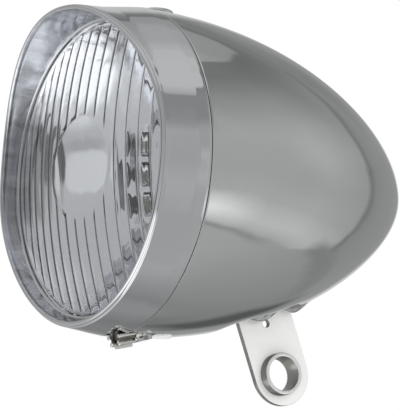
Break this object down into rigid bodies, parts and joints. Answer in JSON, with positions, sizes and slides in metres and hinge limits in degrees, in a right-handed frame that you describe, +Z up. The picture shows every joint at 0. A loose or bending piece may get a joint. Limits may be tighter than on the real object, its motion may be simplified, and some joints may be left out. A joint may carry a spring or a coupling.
{
  "type": "bicycle headlight",
  "caption": "Battery bicycle headlight with a chromed bullet shell, a hooded bezel with a fluted lens that swings up, and a flat steel bracket strip with a bolt bush.",
  "frame": {"origin": "in the bore of the bracket bush, on the upright middle plane of the lamp and of the bracket strip", "axes": "+X along the bush's bore, out of its longer side; -Y the way the lamp shines; +Z up"},
  "size_m": [0.067, 0.0824, 0.0797],
  "materials": {
    "chrome": "mirror-bright chrome plate",
    "zinc_steel": "bright zinc plate, slightly brushed",
    "plain_steel": "plain pressed steel",
    "lens_clear": "clear polished polycarbonate",
    "reflector_metal": "vacuum-metallised bowl",
    "diode_clear": "water-clear epoxy",
    "rubber_black": "matt black rubber",
    "board_green": "solder mask",
    "plastic_black": "fine moulded grain",
    "copper_contact": "bright phosphor bronze",
    "spring_steel": "bright spring wire",
    "cell_wrap": "plain shrink wrap",
    "resistor_ceramic": "glazed ceramic",
    "button_chrome": "chromed plastic"
  },
  "bodies": {
    "housing": {"shell": "chrome", "hook_catch": "plain_steel", "captive_nut": "plain_steel", "chassis_plate": "plain_steel", "battery_carrier": "plastic_black", "battery_top": "cell_wrap", "battery_left": "cell_wrap", "battery_right": "cell_wrap", "contact_springs": "spring_steel", "contact_plates": "copper_contact", "carrier_screws": "zinc_steel", "switch_body": "plastic_black", "switch_spring": "spring_steel", "bracket": "zinc_steel", "bracket_bush": "zinc_steel", "bracket_saddle": "plain_steel", "bracket_screws": "zinc_steel", "bracket_nuts": "zinc_steel"},
    "front": {"bezel": "chrome", "bezel_lug": "plain_steel", "top_hook": "plain_steel", "lens": "lens_clear", "lens_gasket": "rubber_black", "reflector": "reflector_metal", "retaining_ring": "spring_steel", "led_board": "board_green", "led_top": "diode_clear", "led_middle": "diode_clear", "led_bottom": "diode_clear", "board_screws": "zinc_steel", "board_contacts": "copper_contact", "resistor": "resistor_ceramic"},
    "screw": {"thumb_screw": "zinc_steel", "screw_clip": "spring_steel"},
    "button": {"switch_button": "button_chrome"}
  },
  "joints": [
    {"name": "front_swing", "type": "hinge", "parent": "housing", "child": "front", "pos_m": [0, -0.0373, 0.0721], "axis": [-1, 0, 0], "range_deg": [0, 70]},
    {"name": "screw_turn", "type": "hinge", "parent": "front", "child": "screw", "pos_m": [0, -0.0373, 0.0049], "axis": [0, 0.9703, 0.2419], "continuous": true},
    {"name": "button_press", "type": "slide", "parent": "housing", "child": "button", "axis": [0, 0, -1], "range_m": [0, 0.001], "stiffness_N_per_m": 400, "springref_m": -0.002, "deforming": ["switch_spring"]}
  ]
}
